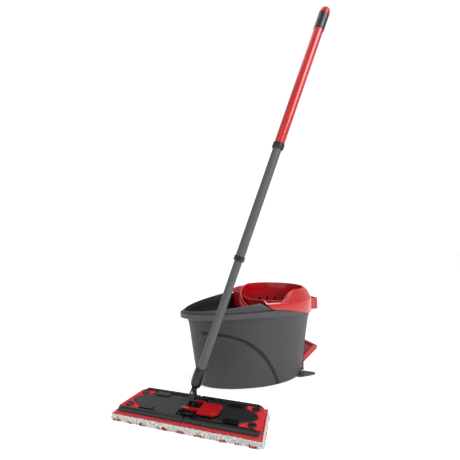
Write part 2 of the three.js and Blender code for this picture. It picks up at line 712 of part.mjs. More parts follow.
function footPedal() {
  const [pinX, pinZ] = crankPin();
  const [tipX, tipZ] = [PEDAL_TIP_X, PEDAL_TIP_Z];
  const cheekSide = [
    [PEDAL_PIVOT_X - 7, PEDAL_PIVOT_Z - 5], [PEDAL_PIVOT_X, PEDAL_PIVOT_Z - 8.5],
    [PEDAL_PIVOT_X + 8, PEDAL_PIVOT_Z - 5], [PEDAL_PIVOT_X + 17, PEDAL_PIVOT_Z + 7],
    [tipX + 2, tipZ - 8], [tipX + 5, tipZ + 2],
    [tipX - 2, tipZ + 6], [tipX - 12, tipZ + 4], [PEDAL_PIVOT_X + 12, PEDAL_PIVOT_Z + 24],
    [PEDAL_PIVOT_X - 6, PEDAL_PIVOT_Z + 7],
  ];
  const half = PEDAL_HALF_WIDTH;
  const tread = sidePlate([
    [PEDAL_PIVOT_X + 6, PEDAL_PIVOT_Z + 8], [PEDAL_PIVOT_X + 10, PEDAL_PIVOT_Z + 6],
    [tipX, tipZ - 6], [tipX - 1, tipZ - 1],
  ], -half + 1, half - 1);
  const crank = sidePlate([
    [PEDAL_PIVOT_X - 6, PEDAL_PIVOT_Z], [PEDAL_PIVOT_X + 6, PEDAL_PIVOT_Z],
    [pinX + 5, pinZ], [pinX + 3, pinZ + 4.5], [pinX - 3, pinZ + 4.5], [pinX - 5, pinZ],
  ], half - CHEEK_WIDTH, half);
  const rackFace = rackPitchY() - DEDENDUM * RACK_MODULE - RACK_BACK;
  const body = join(
    sidePlate(cheekSide, -half, -half + CHEEK_WIDTH),
    sidePlate(cheekSide, half - CHEEK_WIDTH, half),
    tread,
    crank,
    barAlongY(8, -half - 2, half + 2, PEDAL_PIVOT_X, PEDAL_PIVOT_Z, 20),
    barAlongY(5.5, -half, half, tipX, tipZ, 18),
    barAlongY(CRANK_PIN_RADIUS, rackFace - 2, half - 1, pinX, pinZ, 16),
  );
  return cut(body, barAlongY(AXLE_RADIUS + GAP, -half - 5, half + 5, PEDAL_PIVOT_X, PEDAL_PIVOT_Z, 16));
}

function pedalAxle() {
  const half = PEDAL_HALF_WIDTH + 12;
  return barAlongY(AXLE_RADIUS, -half, half, PEDAL_PIVOT_X, PEDAL_PIVOT_Z, 16);
}

function pedalSpring() {
  const treadBottom = PEDAL_PIVOT_Z + 6
    + (springX() - PEDAL_PIVOT_X - 17) * (PEDAL_TIP_Z - PEDAL_PIVOT_Z - 12) / (PEDAL_TIP_X - PEDAL_PIVOT_X - 10);
  return coil(6, 0.8, 5, COVER_THICKNESS + GAP, treadBottom - 1).translate(springX(), 0, 0);
}

// ---- basket and guard ---------------------------------------------------------------------

function spinBasket() {
  const coneInner = CHIMNEY_RADIUS + 2;
  const coneTop = CHIMNEY_TOP + 22;
  const shell = turned([
    [coneInner, BASKET_FLOOR], [BASKET_BASE_RADIUS - 3, BASKET_FLOOR],
    [BASKET_BASE_RADIUS, BASKET_FLOOR + 3], [BASKET_RADIUS, BASKET_TOP - 6],
    [BASKET_RADIUS + 3, BASKET_TOP - 4], [BASKET_RADIUS + 3, BASKET_TOP],
    [BASKET_RADIUS - BASKET_WALL, BASKET_TOP], [BASKET_RADIUS - BASKET_WALL, BASKET_TOP - 6],
    [BASKET_BASE_RADIUS - BASKET_WALL, BASKET_FLOOR + 6], [BASKET_BASE_RADIUS - 6, BASKET_FLOOR + 4],
    [coneInner + 11, BASKET_FLOOR + 4], [coneInner + 3, coneTop - 12], [11, coneTop],
    [SHAFT_RADIUS + GAP, coneTop], [SHAFT_RADIUS + GAP, coneTop - 16], [coneInner, coneTop - 17],
  ], ROUND_STEPS);
  const slots = [];
  for (let i = 0; i < BASKET_SLOTS; i++) {
    const angle = (i / BASKET_SLOTS) * TURN;
    for (const [z0, z1] of [[100, 160], [174, 234]]) {
      slots.push(block(BASKET_BASE_RADIUS - 12, BASKET_RADIUS + 10, -3.5, 3.5, z0, z1).rotateZ(angle));
    }
    if (i % 2) slots.push(block(38, 72, -2.5, 2.5, BASKET_FLOOR - 2, BASKET_FLOOR + 8).rotateZ(angle));
  }
  return cut(shell, ...slots);
}

function hubCap() {
  const seat = CHIMNEY_TOP + 22 + GAP;
  return turned([[0, seat], [10.5, seat], [10.5, seat + 4], [6, seat + 9], [0, seat + 10.5]], 24);
}

// height of the hood's mouth: high at the pedal end, dipping where the mop goes in
function mouthHeight(degrees) {
  const turn = (degrees + 360) % 360;
  const dip = smoothstep(turn, 110, 215) * (1 - smoothstep(turn, 238, 280));
  return MOUTH_TOP - MOUTH_DIP * dip;
}

// one slice of the guard: over the rim beside the basket, and a plain double wall in front of it
function guardSection(degrees) {
  const direction = rad(degrees);
  const mouth = mouthHeight(degrees);
  const away = Math.abs(degrees);
  const rim = rimRadius(direction);
  const rimX = rim * Math.cos(direction);
  const seat = rimTop(rimX) + 2.4;
  const closing = smoothstep(away, NOSE_FROM, NOSE_TO);
  const inFront = smoothstep(away, NOSE_TO + 1, 136);
  const overRim = away <= NOSE_TO;
  const flat = lerp(FLANGE_BOTTOM_FRONT, FLANGE_BOTTOM_PEDAL, smoothstep(rimX, -60, 133));
  const skirt = overRim ? lerp(flat, seat + 1, closing ** 3) : seat + 1;
  const edge = lerp(rim + FLANGE_OUT - 0.6 * closing, FRONT_WALL_RADIUS, inFront);
  const sunk = smoothstep(rim - edge, 13, 26);
  const bottom = lerp(skirt, FRONT_WALL_BOTTOM, sunk);
  const shoulder = overRim ? Math.max(seat + 5, skirt + 2) : Math.max(lerp(seat + 6, mouth - 14, inFront), bottom + 3);
  const lip = MOUTH_RADIUS + 3;
  const domeR = lerp(edge - 4, lip, 0.5);
  const domeZ = lerp(shoulder + 4, mouth - 2, 0.7);
  const wall = MOUTH_RADIUS - 5;
  const under = lerp(Math.min(seat + 2, shoulder - 1), shoulder - 3, sunk);
  const inset = lerp(3, GUARD_WALL, sunk);
  return [
    [edge, bottom], [edge, Math.max(bottom + 1, shoulder - 5)], [edge - 1, shoulder - 1],
    [edge - 3, shoulder + 2], [domeR, domeZ], [lip, mouth - 2], [MOUTH_RADIUS + 0.5, mouth],
    [MOUTH_RADIUS - 3, mouth - 2], [wall + 1, mouth - 24], [wall, GUARD_WALL_BOTTOM],
    [wall + GUARD_WALL, GUARD_WALL_BOTTOM], [wall + GUARD_WALL + 0.8, mouth - 14],
    [lerp(edge - 7, lip - 3, 0.5), domeZ - 3.5], [edge - inset, under], [edge - inset, bottom],
  ].map(([r, z]) => new THREE.Vector3(r * Math.cos(direction), r * Math.sin(direction), z));
}

function splashGuard() {
  const half = [0, 8, 16, 24, 32, 40, 48, 56, 64, 72, 80, 88, 96, 103, 108, 112, 115, 117.5, 119.5, 121,
    122.2, NOSE_TO, 124.5, 126.2, 128, 130, 132, 134, 136.5, 141, 147, 153, 160, 166, 173];
  const round = [...half, 180, ...half.slice(1).reverse().map((degrees) => -degrees)];
  const hood = loft(round.map(guardSection), true);
  const rimEnd = RIM_CENTRE_X + RIM_HALF_LENGTH;
  const corner = 7;
  const loop = plate([
    [rimEnd - 4, -LOOP_HALF_WIDTH], [LOOP_X - corner, -LOOP_HALF_WIDTH], [LOOP_X, -LOOP_HALF_WIDTH + corner],
    [LOOP_X, LOOP_HALF_WIDTH - corner], [LOOP_X - corner, LOOP_HALF_WIDTH], [rimEnd - 4, LOOP_HALF_WIDTH],
  ], LOOP_BOTTOM, LOOP_TOP);
  const opening = plate([
    [rimEnd + 4, -LOOP_HALF_WIDTH + 4], [LOOP_X - corner, -LOOP_HALF_WIDTH + 4],
    [LOOP_X - 4, -LOOP_HALF_WIDTH + corner + 2], [LOOP_X - 4, LOOP_HALF_WIDTH - corner - 2],
    [LOOP_X - corner, LOOP_HALF_WIDTH - 4], [rimEnd + 4, LOOP_HALF_WIDTH - 4],
  ], LOOP_BOTTOM - 1, LOOP_TOP + 1);
  const rimSpace = loft([
    eggRing(RIM_HALF_LENGTH + 1, RIM_HALF_WIDTH + 1, RIM_CENTRE_X, LOOP_BOTTOM - 5),
    eggRing(RIM_HALF_LENGTH + 1, RIM_HALF_WIDTH + 1, RIM_CENTRE_X, LOOP_TOP + 2),
  ]);
  return join(hood, cut(loop, opening, rimSpace));
}

// ---- carry handle -------------------------------------------------------------------------

function bailSideY() {
  return RIM_HALF_WIDTH + BAIL_PIVOT_STANDOFF;
}

// the carry handle lies folded round the spout end, close under the rim's edge
function carryHandle() {
  const rings = [];
  const steps = 34;
  const half = BAIL_WIDTH / 2;
  const tall = BAIL_HEIGHT / 2;
  const start = Math.acos((BAIL_PIVOT_X - RIM_CENTRE_X) / RIM_HALF_LENGTH);
  const place = (t) => {
    const past = BAIL_PIVOT_X - RIM_CENTRE_X - RIM_HALF_LENGTH * Math.cos(t);
    const standoff = lerp(BAIL_PIVOT_STANDOFF, BAIL_STANDOFF, smoothstep(past, 38, 85));
    const lip = SPOUT_REACH * Math.max(0, -Math.cos(t)) ** 40;
    const cos = Math.cos(t);
    const sin = Math.sin(t);
    return new THREE.Vector3(
      RIM_CENTRE_X + (RIM_HALF_LENGTH + standoff * Math.abs(cos) + lip) * cos,
      (RIM_HALF_WIDTH * (1 + EGG_FATNESS * cos) + standoff) * sin,
      lerp(BAIL_PIVOT_Z, BAIL_SPOUT_Z, past / (BAIL_PIVOT_X - RIM_CENTRE_X + RIM_HALF_LENGTH)),
    );
  };
  for (let i = 0; i <= steps; i++) {
    const t = lerp(start, TURN - start, i / steps);
    const at = place(t);
    const along = place(t + 0.01).sub(place(t - 0.01)).normalize();
    const out = new THREE.Vector3(along.y, -along.x, 0);
    rings.push([[-half, -tall + 1.5], [-half + 1.5, -tall], [half - 1.5, -tall], [half, -tall + 1.5],
      [half, tall - 1.5], [half - 1.5, tall], [-half + 1.5, tall], [-half, tall - 1.5]]
      .map(([a, b]) => at.clone().addScaledVector(out, a).add(new THREE.Vector3(0, 0, b))));
  }
  const y = bailSideY();
  const eye = (side) => barAlongY(6.5, side * y - half, side * y + half, BAIL_PIVOT_X, BAIL_PIVOT_Z, 22);
  const hole = (side) => barAlongY(3 + GAP, side * y - 9, side * y + 9, BAIL_PIVOT_X, BAIL_PIVOT_Z, 20);
  return cut(join(loft(rings), eye(1), eye(-1)), hole(1), hole(-1));
}

// ---- mop head -----------------------------------------------------------------------------

// half of the head's plan, for x at or beyond the given start, grown outwards
function headPlan(from, grow, corner = HEAD_CORNER) {
  const front = HEAD_FRONT_HALF + grow;
  const back = HEAD_BACK_HALF + grow;
  const depth = HEAD_HALF_DEPTH + grow;
  const points = [[from, -depth]];
  for (let i = 0; i <= 4; i++) {
    const angle = -Math.PI / 2 + (i / 4) * Math.PI / 2;
    points.push([front - corner + corner * Math.cos(angle), -depth + corner + corner * Math.sin(angle)]);
  }
  for (let i = 0; i <= 4; i++) {
    const angle = (i / 4) * Math.PI / 2;
    points.push([back - corner + corner * Math.cos(angle), depth - corner + corner * Math.sin(angle)]);
  }
  points.push([from, depth]);
  return points;
}

function headHalf(side) {
  return side < 0 ? HEAD_FRONT_HALF : HEAD_BACK_HALF;
}

function rail(side) {
  const end = headHalf(side) - RAIL_INSET;
  const y = side * (HEAD_HALF_DEPTH - RAIL_WIDTH / 2);
  const half = RAIL_WIDTH / 2;
  const section = [
    [-half, PLATE_BOTTOM + 2], [half, PLATE_BOTTOM + 2], [half, RAIL_TOP - 2.5], [half - 2.5, RAIL_TOP],
    [2.5 - half, RAIL_TOP], [-half, RAIL_TOP - 2.5],
  ];
  const ring = (x, drop) => section.map(([a, z]) => (
    new THREE.Vector3(x, y + a, Math.min(z, RAIL_TOP - drop))));
  return loft([ring(1, 2), ring(4, 0), ring(end - 8, 0), ring(end, 4.5)]);
}

// the raised middle of the head: a long pointed oval, stepped up from the plate
function raisedBody(top) {
  const outline = (shrink) => {
    const points = [];
    for (let i = 0; i <= 20; i++) {
      const t = -Math.PI / 2 + (i / 20) * Math.PI;
      const x = (BODY_REACH - shrink) * Math.cos(t) ** 0.8;
      points.push([Math.max(WING_HINGE_X + 6, x), (BODY_HALF_DEPTH - shrink) * Math.sin(t)]);
    }
    return points.map(([x, y]) => new THREE.Vector3(x, y, shrink ? top + 2.4 : top + 1));
  };
  const foot = outline(0).map((p) => p.clone().setZ(top - 1));
  return loft([foot, outline(0), outline(3)]);
}

function wing() {
  const top = PLATE_BOTTOM + PLATE_THICKNESS;
  const raised = (x0, x1, y0, y1, height) => plate([
    [x0 + 3, y0], [x1 - 3, y0], [x1, y0 + 3], [x1, y1 - 3], [x1 - 3, y1], [x0 + 3, y1], [x0, y1 - 3],
    [x0, y0 + 3],
  ], top - 1, height);
  const knuckle = (y0, y1) => join(
    barAlongY(KNUCKLE_RADIUS, y0, y1, WING_HINGE_X, WING_HINGE_Z, 14),
    block(WING_HINGE_X, WING_HINGE_X + 7, y0, y1, PLATE_BOTTOM + 0.5, top - 0.2),
  );
  const body = join(
    plate(headPlan(WING_HINGE_X + 5, 0), PLATE_BOTTOM, top),
    rail(-1),
    rail(1),
    raisedBody(top),
    raised(90, 126, -42, -25, top + 4.5),
    raised(80, 120, 26, 42, top + 4.5),
    knuckle(-HUB_HALF_DEPTH / 2 - 2.5, -4.5),
    knuckle(4.5, HUB_HALF_DEPTH / 2 + 2.5),
  );
  const y = HUB_HALF_DEPTH;
  return cut(body, barAlongY(2 + GAP, -y, y, WING_HINGE_X, WING_HINGE_Z, 14));
}

function hingePin() {
  const y = HUB_HALF_DEPTH + 1;
  return barAlongY(2, -y, y, WING_HINGE_X, WING_HINGE_Z, 14);
}

function mopHub() {
  const y = HUB_HALF_DEPTH;
  const x = WING_HINGE_X - KNUCKLE_RADIUS - 0.5;
  const arm = (y0, y1) => join(
    barAlongY(KNUCKLE_RADIUS, y0, y1, WING_HINGE_X, WING_HINGE_Z, 14),
    block(x - 3, WING_HINGE_X, y0, y1, WING_HINGE_Z - 2, WING_HINGE_Z + KNUCKLE_RADIUS),
  );
  const arms = join(arm(-y, -y / 2 - 3), arm(-4, 4), arm(y / 2 + 3, y));
  const earInner = LUG_HALF_WIDTH + GAP;
  const earOuter = earInner + EAR_WIDTH;
  const ear = join(
    barAlongX(6, earInner, earOuter, 0, TILT_PIN_Z, 20),
    block(earInner, earOuter, -6, 6, HUB_TOP - 1, TILT_PIN_Z),
  );
  const drum = bar(13, HUB_TOP - 1, HUB_TOP + 4.5, 32);
  const leverPost = block(LEVER_PIVOT_X - 3.5, LEVER_PIVOT_X + 5, 20, 26, HUB_TOP - 1, LEVER_PIVOT_Z + 3);
  const leverPostFront = leverPost.clone().translate(0, -50, 0);
  const body = join(
    block(-x, x, -y, y, HUB_BOTTOM, HUB_TOP),
    block(LEVER_PIVOT_X - 3.5, 0, -30, -24, HUB_BOTTOM, HUB_TOP),
    arms,
    mirroredX(arms),
    drum,
    ear,
    mirroredX(ear),
    leverPost,
    leverPostFront,
  );
  return cut(
    body,
    barAlongX(JOINT_PIN_RADIUS + GAP, -20, 20, 0, TILT_PIN_Z, 16),
    barAlongY(2 + GAP, -y - 1, y + 1, WING_HINGE_X, WING_HINGE_Z, 14),
    barAlongY(2 + GAP, -y - 1, y + 1, -WING_HINGE_X, WING_HINGE_Z, 14),
    barAlongY(1.5 + GAP, -40, 40, LEVER_PIVOT_X, LEVER_PIVOT_Z, 12),
  );
}

function releaseLever() {
  const underside = LEVER_PIVOT_Z - 0.8;
  const top = LEVER_PIVOT_Z + 2.2;
  const paddle = plate([
    [24, -36], [62, -36], [75, -24], [75, 8], [68, 15], [24, 15],
  ], underside, top);
  const strip = plate([
    [LEVER_PIVOT_X, -23.4], [26, -23.4], [26, -15], [LEVER_PIVOT_X, -15],
  ], underside, top);
  const rear = plate([
    [LEVER_PIVOT_X, 15], [26, 15], [26, 19.4], [LEVER_PIVOT_X, 19.4],
  ], underside, top);
  const rib = plate([[30, -30], [58, -30], [68, -21], [68, 5], [64, 9], [30, 9]], top - 1, top + 1);
  const inset = plate([[33, -27], [57, -27], [65, -20], [65, 3], [62, 6], [33, 6]], top - 0.6, top + 2);
  const barrel = (y0, y1) => barAlongY(3, y0, y1, LEVER_PIVOT_X, LEVER_PIVOT_Z, 16);
  const body = join(cut(join(paddle, rib), inset), strip, rear, barrel(-23.4, -15), barrel(15, 19.4));
  return cut(body, barAlongY(1.5 + GAP, -40, 40, LEVER_PIVOT_X, LEVER_PIVOT_Z, 12));
}

function leverPin() {
  return barAlongY(1.5, -31, 27, LEVER_PIVOT_X, LEVER_PIVOT_Z, 12);
}

function leverSpring() {
  const low = HUB_TOP + GAP;
  const high = LEVER_PIVOT_Z - 0.8 - GAP;
  return sidePlate([
    [0, low], [10, low], [13, high - 0.5], [13, high], [12.2, high], [9.2, low + 0.6], [0, low + 0.6],
  ], -21, -17.4);
}

function pad() {
  const ring = (grow, z) => headPlan(PAD_INNER, grow, HEAD_CORNER + 6).map(([x, y]) => new THREE.Vector3(x, y, z));
  return loft([
    ring(PAD_MARGIN - 6, 0.3), ring(PAD_MARGIN, 4), ring(PAD_MARGIN, 12), ring(PAD_MARGIN - 6, PAD_TOP),
  ]);
}

function cornerFlap(side) {
  const top = PLATE_BOTTOM + PLATE_THICKNESS;
  const end = headHalf(side) + 2;
  const railInner = HEAD_HALF_DEPTH - RAIL_WIDTH - 0.8;
  const points = [];
  for (let i = 0; i <= 8; i++) {
    const y = lerp(railInner, 0.3, i / 8);
    const t = Math.asin(Math.min(1, y / (BODY_HALF_DEPTH + 1)));
    points.push([Math.max(128, 1.5 + BODY_REACH * Math.cos(t) ** 0.8), side * y]);
  }
  points.push([(HEAD_FRONT_HALF + HEAD_BACK_HALF) / 2 + 2, side * 0.3]);
  points.push([end, side * (HEAD_HALF_DEPTH - 12)], [end - 1, side * railInner]);
  return plate(points, top + GAP, top + 1.6);
}

function pressStud(x, y) {
  const top = PLATE_BOTTOM + PLATE_THICKNESS + 1.6 + GAP;
  return turned([
    [0, top], [STUD_RADIUS, top], [STUD_RADIUS, top + 1.6], [STUD_RADIUS - 1.5, top + 2.8],
    [STUD_RADIUS - 4, top + 2.8], [STUD_RADIUS - 5, top + 1.8], [0, top + 1.8],
  ], 24).translate(x, y, 0);
}

// ---- joint and handle ---------------------------------------------------------------------

function jointYoke() {
  const earInner = LUG_HALF_WIDTH + GAP;
  const earOuter = earInner + EAR_WIDTH;
  const ear = join(
    barAlongY(6, earInner, earOuter, 0, YOKE_LENGTH, 20),
    block(-6, 6, earInner, earOuter, 9, YOKE_LENGTH),
  );
  const body = join(
    barAlongX(6, -LUG_HALF_WIDTH, LUG_HALF_WIDTH, 0, 0, 20),
    block(-LUG_HALF_WIDTH, LUG_HALF_WIDTH, -6, 6, 0, 10),
    block(-7.5, 7.5, -earOuter, earOuter, 9, 12.5),
    ear,
    ear.clone().rotateZ(Math.PI),
  );
  return cut(
    body,
    barAlongX(JOINT_PIN_RADIUS + GAP, -20, 20, 0, 0, 16),
    barAlongY(JOINT_PIN_RADIUS + GAP, -20, 20, 0, YOKE_LENGTH, 16),
  );
}

function tiltPin() {
  return barAlongX(JOINT_PIN_RADIUS, -LUG_HALF_WIDTH - EAR_WIDTH - 1, LUG_HALF_WIDTH + EAR_WIDTH + 1, 0, 0, 16);
}

function swingPin() {
  const half = LUG_HALF_WIDTH + EAR_WIDTH + 1;
  return barAlongY(JOINT_PIN_RADIUS, -half, half, 0, YOKE_LENGTH, 16);
}

function handleSocket() {
  const body = turned([
    [0, 10.5], [8, 10.5], [12.5, 16], [SOCKET_RADIUS, 24], [SOCKET_RADIUS, SOCKET_TOP - 8],
    [SOCKET_RADIUS - 1.5, SOCKET_TOP], [LOWER_TUBE_RADIUS + GAP, SOCKET_TOP], [LOWER_TUBE_RADIUS + GAP, 20],
    [0, 20],
  ], TUBE_STEPS);
  const tongue = join(
    barAlongY(6, -LUG_HALF_WIDTH, LUG_HALF_WIDTH, 0, 0, 20),
    block(-6, 6, -LUG_HALF_WIDTH, LUG_HALF_WIDTH, 0, 14),
  );
  return cut(
    join(body, tongue),
    barAlongY(JOINT_PIN_RADIUS + GAP, -20, 20, 0, 0, 16),
    barAlongY(3.5, -20, 0, 0, 42, 16),
  );
}

function socketClip() {
  const button = barAlongY(3.2, -SOCKET_RADIUS - 0.8, -LOWER_TUBE_RADIUS - GAP, 0, 42, 16);
  return button;
}

function tube(radius, from, to) {
  return turned([[radius, from], [radius, to], [radius - TUBE_WALL, to], [radius - TUBE_WALL, from]]);
}

// plug pressed in the top of a tube, with a head that slides in the next tube
function guidePlug(tubeRadius, tubeTop, headRadius) {
  const stem = tubeRadius - TUBE_WALL - GAP;
  return turned([
    [0, tubeTop - 12], [stem, tubeTop - 12], [stem, tubeTop + GAP], [headRadius, tubeTop + GAP],
    [headRadius, tubeTop + 7], [headRadius - 1.5, tubeTop + 8], [0, tubeTop + 8],
  ], 24);
}

// cuff round the bottom end of a tube, closing on the thinner tube below it
function collar(innerTube, outerTube, from, to) {
  const bore = innerTube + GAP;
  const seat = outerTube + GAP;
  const outer = outerTube + 2.1;
  return turned([
    [bore, from], [outer - 1, from], [outer, from + 1.5], [outer, to - 1], [outer - 0.6, to], [seat, to],
    [seat, from + 5], [bore, from + 5],
  ], TUBE_STEPS);
}

function gripBand() {
  const inner = UPPER_TUBE_RADIUS + GAP;
  return turned([
    [inner, BAND_FROM], [inner + 0.7, BAND_FROM], [inner + 0.9, BAND_FROM + 1], [inner + 0.9, BAND_TO - 1],
    [inner + 0.7, BAND_TO], [inner, BAND_TO],
  ], TUBE_STEPS);
}

function endCap() {
  const stem = UPPER_TUBE_RADIUS - TUBE_WALL - GAP;
  const top = UPPER_TUBE_TOP + GAP;
  return turned([
    [0, top - 14], [stem, top - 14], [stem, top], [15, top], [15, top + 6], [13.5, top + 12],
    [9, top + 15.5], [0, top + 16.7],
  ], TUBE_STEPS);
}

// ---- assembly: bucket ---------------------------------------------------------------------

add(nodes, 'bucket_shell', bucketShell(), greyPlastic);
add(nodes, 'base_cover', baseCover(), charcoalPlastic);
SCREW_PLACES.forEach(([x, y], i) => add(nodes, `base_screw_${i + 1}`, baseScrew().translate(x, y, 0), steel));
FOOT_PLACES.forEach(([x, y], i) => add(nodes, `rubber_foot_${i + 1}`, rubberFoot().translate(x, y, 0), rubber));

add(nodes, 'foot_pedal', footPedal(), redPlastic);
add(nodes, 'pedal_axle', pedalAxle(), steel);
add(nodes, 'pedal_spring', pedalSpring(), steel);
add(nodes, 'drive_rack', driveRack(), whitePlastic);
add(nodes, 'step_up_gear', stepUpGear().translate(0, compoundCentreY(), 0), whitePlastic);
add(nodes, 'gear_axle', gearAxle().translate(0, compoundCentreY(), 0), steel);
add(nodes, 'clutch_gear', clutchGear(), whitePlastic);
add(nodes, 'clutch_spring', clutchSpring(), steel);
add(nodes, 'spin_shaft', spinShaft(), steel);
add(nodes, 'lower_bush', lowerBush(), whitePlastic);
add(nodes, 'upper_bush', upperBush(), whitePlastic);
add(nodes, 'spin_basket', spinBasket(), redPlastic);
add(nodes, 'hub_cap', hubCap(), charcoalPlastic);
add(nodes, 'splash_guard', splashGuard(), redPlastic);
add(nodes, 'carry_handle', carryHandle(), blackPlastic);

// ---- assembly: mop ------------------------------------------------------------------------

const mop = new THREE.Group();
mop.position.set(MOP_X, MOP_Y, 0);
mop.rotation.z = rad(MOP_TURN);
nodes.add(mop);

add(mop, 'mop_hub', mopHub(), blackPlastic);
add(mop, 'right_wing', wing(), charcoalPlastic);
add(mop, 'left_wing', mirroredX(wing()), charcoalPlastic);
add(mop, 'right_hinge_pin', hingePin(), steel);
add(mop, 'left_hinge_pin', mirroredX(hingePin()), steel);
add(mop, 'release_lever', releaseLever(), redPlastic);
add(mop, 'lever_pin', leverPin(), steel);
add(mop, 'lever_spring', leverSpring(), steel);
add(mop, 'pad_right', pad(), pile);
add(mop, 'pad_left', mirroredX(pad()), pile);
const frontFlap = cornerFlap(-1);
const backFlap = cornerFlap(1);
add(mop, 'corner_flap_1', frontFlap, backing);
add(mop, 'corner_flap_2', backFlap, backing);
add(mop, 'corner_flap_3', mirroredX(frontFlap), backing);
add(mop, 'corner_flap_4', mirroredX(backFlap), backing);
const studX = (HEAD_FRONT_HALF + HEAD_BACK_HALF) / 2 - 16;
add(mop, 'press_stud_1', pressStud(studX, -32), blackPlastic);
add(mop, 'press_stud_2', pressStud(studX - 5, 32), blackPlastic);
add(mop, 'press_stud_3', pressStud(-studX, -32), blackPlastic);
add(mop, 'press_stud_4', pressStud(5 - studX, 32), blackPlastic);

const yoke = new THREE.Group();
yoke.position.z = TILT_PIN_Z;
yoke.rotation.x = -rad(LEAN_BACK);
mop.add(yoke);
add(yoke, 'joint_yoke', jointYoke(), blackPlastic);
add(mop, 'tilt_pin', tiltPin().translate(0, 0, TILT_PIN_Z), steel);
add(yoke, 'swing_pin', swingPin(), steel);

const handle = new THREE.Group();
handle.position.z = YOKE_LENGTH;
handle.rotation.y = rad(LEAN_RIGHT);
yoke.add(handle);
add(handle, 'handle_socket', handleSocket(), blackPlastic);
add(handle, 'socket_clip', socketClip(), greyPlastic);
add(handle, 'lower_tube', tube(LOWER_TUBE_RADIUS, 22, LOWER_TUBE_TOP), paintedTube);
add(handle, 'lower_guide', guidePlug(LOWER_TUBE_RADIUS, LOWER_TUBE_TOP, 11), blackPlastic);
add(handle, 'middle_tube', tube(MIDDLE_TUBE_RADIUS, MIDDLE_TUBE_BOTTOM, MIDDLE_TUBE_TOP), paintedTube);
const lowerCollar = collar(LOWER_TUBE_RADIUS, MIDDLE_TUBE_RADIUS, MIDDLE_TUBE_BOTTOM - 5.3, MIDDLE_TUBE_BOTTOM + 8);
add(handle, 'lower_collar', lowerCollar, blackPlastic);
add(handle, 'middle_guide', guidePlug(MIDDLE_TUBE_RADIUS, MIDDLE_TUBE_TOP, 12.8), blackPlastic);
add(handle, 'upper_tube', tube(UPPER_TUBE_RADIUS, UPPER_TUBE_BOTTOM, UPPER_TUBE_TOP), redPlastic);
const upperCollar = collar(MIDDLE_TUBE_RADIUS, UPPER_TUBE_RADIUS, UPPER_TUBE_BOTTOM - 5.3, UPPER_TUBE_BOTTOM + 10);
add(handle, 'upper_collar', upperCollar, blackPlastic);
add(handle, 'grip_band', gripBand(), blackPlastic);
add(handle, 'end_cap', endCap(), redPlastic);

nodes.updateMatrixWorld(true);

export default nodes;
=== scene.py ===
import json
import math
import random

import bmesh
import bpy
from mathutils import Matrix, Vector


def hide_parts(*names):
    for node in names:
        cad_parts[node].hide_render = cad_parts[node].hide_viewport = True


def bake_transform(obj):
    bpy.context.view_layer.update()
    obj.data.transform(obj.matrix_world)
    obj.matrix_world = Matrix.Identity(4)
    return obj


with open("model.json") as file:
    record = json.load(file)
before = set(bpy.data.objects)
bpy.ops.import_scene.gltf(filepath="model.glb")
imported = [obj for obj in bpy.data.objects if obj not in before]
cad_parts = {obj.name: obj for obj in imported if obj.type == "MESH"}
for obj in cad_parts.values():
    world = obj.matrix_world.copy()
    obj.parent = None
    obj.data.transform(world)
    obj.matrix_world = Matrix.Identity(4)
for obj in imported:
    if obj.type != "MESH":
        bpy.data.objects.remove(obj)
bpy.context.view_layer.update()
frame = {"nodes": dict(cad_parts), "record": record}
nodes = frame["nodes"]

# ---------------------------------------------------------------------------------------------
# The view
# The set stands on a pale studio floor, seen from low down and close by, with one large soft
# light in front on the right, a weaker one on the left, one overhead and an even white surround.
# ---------------------------------------------------------------------------------------------

EYE = Vector((-0.5059, -0.9188, 0.418))
LOOK = Vector((0.3578, 0.9321, 0.0572))
LENS_MM = 23.48
MIDDLE = Vector((-0.15, -0.1, 0.2))

camera = bpy.data.objects.new("camera", bpy.data.cameras.new("camera"))
camera.data.lens = LENS_MM
camera.data.sensor_width = 36
camera.data.clip_start = 0.02
camera.location = EYE
camera.rotation_euler = LOOK.to_track_quat("-Z", "Y").to_euler()
bpy.context.scene.collection.objects.link(camera)
bpy.context.scene.camera = camera


def soft_light(name, place, width, height, watts, tint=(1, 1, 1)):
    lamp = bpy.data.lights.new(name, "AREA")
    lamp.shape = "RECTANGLE"
    lamp.size = width
    lamp.size_y = height
    lamp.energy = watts
    lamp.color = tint
    holder = bpy.data.objects.new(name, lamp)
    holder.location = place
    holder.rotation_euler = (MIDDLE - Vector(place)).to_track_quat("-Z", "Y").to_euler()
    bpy.context.scene.collection.objects.link(holder)


soft_light("key", (0.9, -2.1, 1.9), 1.3, 1.3, 44)
soft_light("fill", (-1.9, -1.3, 1.7), 1.2, 1.2, 5)
soft_light("top", (0.1, 0.2, 2.9), 2.6, 2.0, 22)

world = bpy.data.worlds.new("studio")
world.use_nodes = True
world.node_tree.nodes["Background"].inputs["Color"].default_value = (1, 1, 1, 1)
surround = world.node_tree.nodes["Background"]
backdrop = world.node_tree.nodes.new("ShaderNodeBackground")
backdrop.inputs["Color"].default_value = (1, 1, 1, 1)
backdrop.inputs["Strength"].default_value = 1.1
surround.inputs["Strength"].default_value = 0.62
ray = world.node_tree.nodes.new("ShaderNodeLightPath")
either = world.node_tree.nodes.new("ShaderNodeMixShader")
join = world.node_tree.links.new
join(ray.outputs["Is Camera Ray"], either.inputs[0])
join(surround.outputs[0], either.inputs[1])
join(backdrop.outputs[0], either.inputs[2])
join(either.outputs[0], world.node_tree.nodes["World Output"].inputs["Surface"])
bpy.context.scene.world = world
bpy.context.scene.view_settings.view_transform = "Standard"

# ---------------------------------------------------------------------------------------------
# The floor
# A matt white sheet that reaches well past the set on every side.
# ---------------------------------------------------------------------------------------------

FLOOR_REACH = 30


